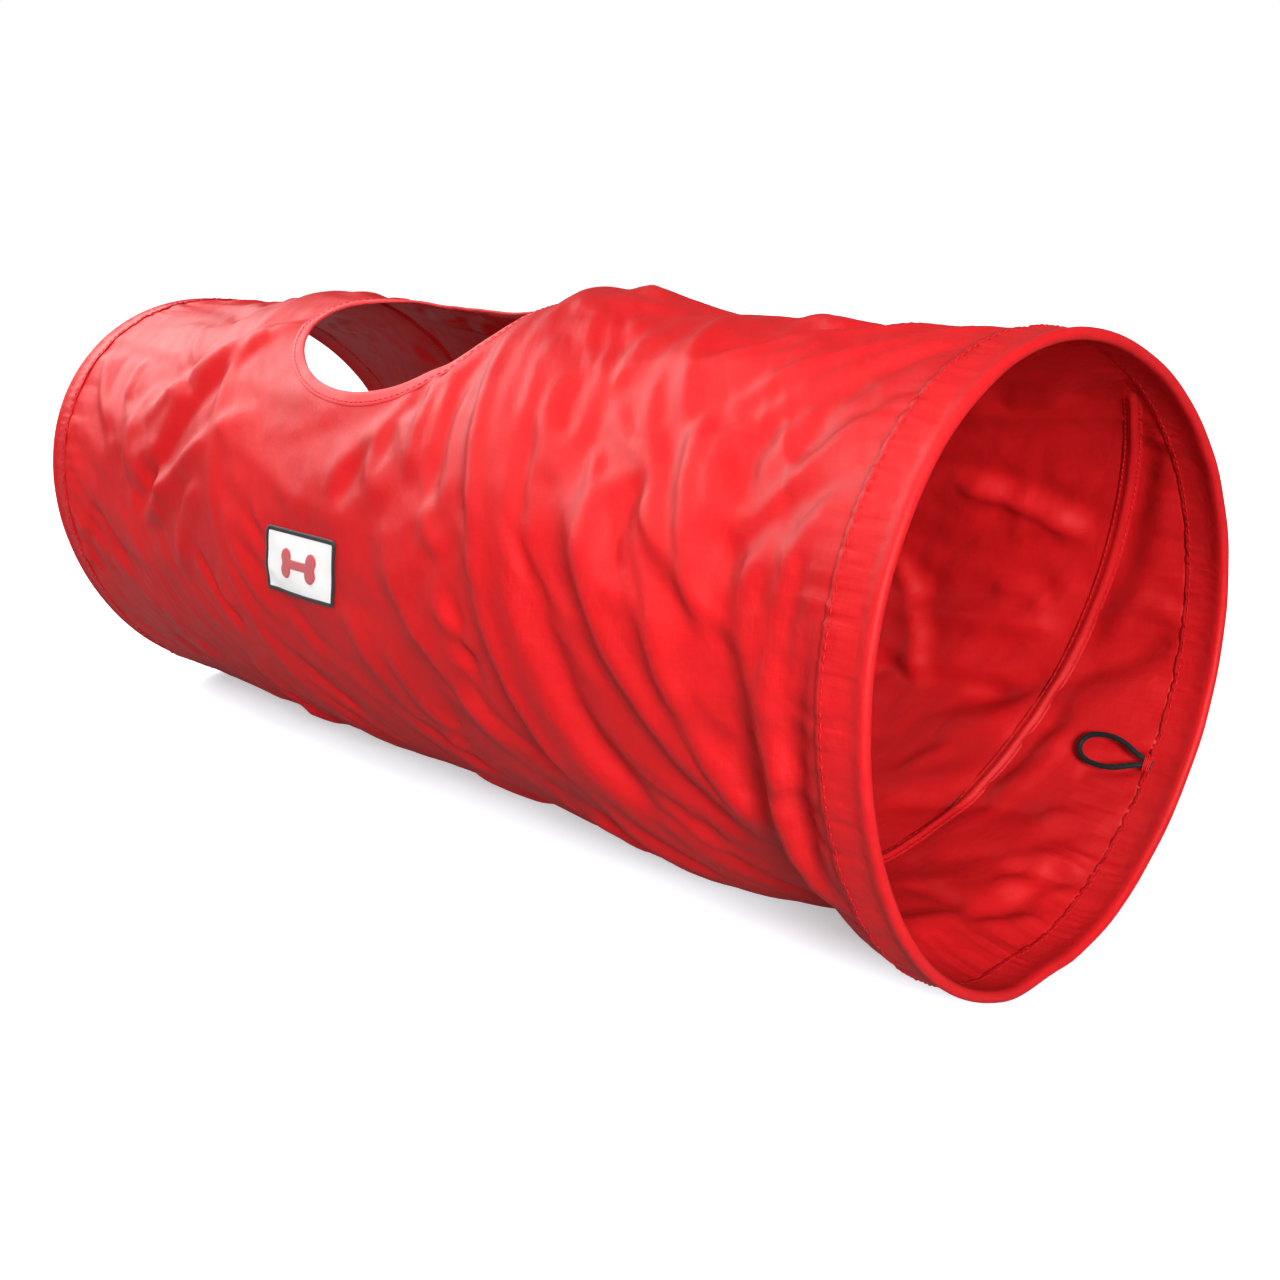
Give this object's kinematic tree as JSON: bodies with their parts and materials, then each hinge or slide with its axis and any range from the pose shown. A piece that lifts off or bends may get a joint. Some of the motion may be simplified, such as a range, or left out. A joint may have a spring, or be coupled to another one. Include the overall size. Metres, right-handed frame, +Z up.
{
  "type": "collapsible play tunnel",
  "caption": "Collapsible red cloth play tunnel on two wire end rings and a wire spiral, with a peek hole, a label patch and a tie loop.",
  "frame": {"origin": "on the floor, midway along the open tunnel and midway across it", "axes": "+X along the tunnel towards the front opening with the tie loop, +Z up, -Y towards the side with the label and the peek hole"},
  "size_m": [0.62, 0.2533, 0.2557],
  "materials": {
    "ring_wire": "bright drawn spring wire",
    "ferrule": "dull crimped steel",
    "red_cloth": "red taffeta, fine plain weave, slight sheen",
    "spiral_wire": "bright drawn spring wire",
    "casing_cloth": "red taffeta strip, sewn to the inside",
    "binding_cloth": "red binding tape",
    "label_weave": "white woven label",
    "label_edge": "black overlocked edge",
    "label_print": "red embroidered bone shape",
    "elastic_cord": "black braided elastic",
    "button_plastic": "black moulded button",
    "sewing_thread": "dark red thread"
  },
  "bodies": {
    "front_end": {"front_ring_wire": "ring_wire", "front_ring_ferrule": "ferrule", "front_hem": "red_cloth"},
    "section_1": {"cloth_bay_1": "red_cloth", "spiral_wire_1": "spiral_wire", "spiral_casing_1": "casing_cloth"},
    "section_2": {"cloth_bay_2": "red_cloth", "spiral_wire_2": "spiral_wire", "spiral_casing_2": "casing_cloth", "peek_hole_binding": "binding_cloth", "label_patch": "label_weave", "label_border": "label_edge", "label_motif": "label_print"},
    "section_3": {"cloth_bay_3": "red_cloth", "spiral_wire_3": "spiral_wire", "spiral_casing_3": "casing_cloth"},
    "rear_end": {"rear_ring_wire": "ring_wire", "rear_ring_ferrule": "ferrule", "rear_hem": "red_cloth", "tie_button": "button_plastic", "button_thread": "sewing_thread"},
    "tie_loop": {"tie_loop": "elastic_cord"}
  },
  "joints": [
    {"name": "collapse", "type": "slide", "parent": "front_end", "child": "rear_end", "axis": [1, 0, 0], "range_m": [0, 0.576], "stiffness_N_per_m": 12, "deforming": ["cloth_bay_1", "spiral_wire_1", "spiral_casing_1", "cloth_bay_2", "spiral_wire_2", "spiral_casing_2", "cloth_bay_3", "spiral_wire_3", "spiral_casing_3", "peek_hole_binding", "label_patch", "label_border", "label_motif"]},
    {"name": "section_1_slide", "type": "slide", "parent": "front_end", "child": "section_1", "axis": [1, 0, 0], "range_m": [0, 0.0965]},
    {"name": "section_2_slide", "type": "slide", "parent": "front_end", "child": "section_2", "axis": [1, 0, 0], "range_m": [0, 0.2885]},
    {"name": "section_3_slide", "type": "slide", "parent": "front_end", "child": "section_3", "axis": [1, 0, 0], "range_m": [0, 0.4805]},
    {"name": "loop_swing", "type": "hinge", "parent": "front_end", "child": "tie_loop", "pos_m": [0.292, 0.10086, 0.05844], "axis": [0, 0.5299, 0.848], "range_deg": [0, 160]}
  ],
  "couplings": [
    {"joint": "section_1_slide", "follows": "collapse", "ratio": 0.16667},
    {"joint": "section_2_slide", "follows": "collapse", "ratio": 0.5},
    {"joint": "section_3_slide", "follows": "collapse", "ratio": 0.83333}
  ]
}
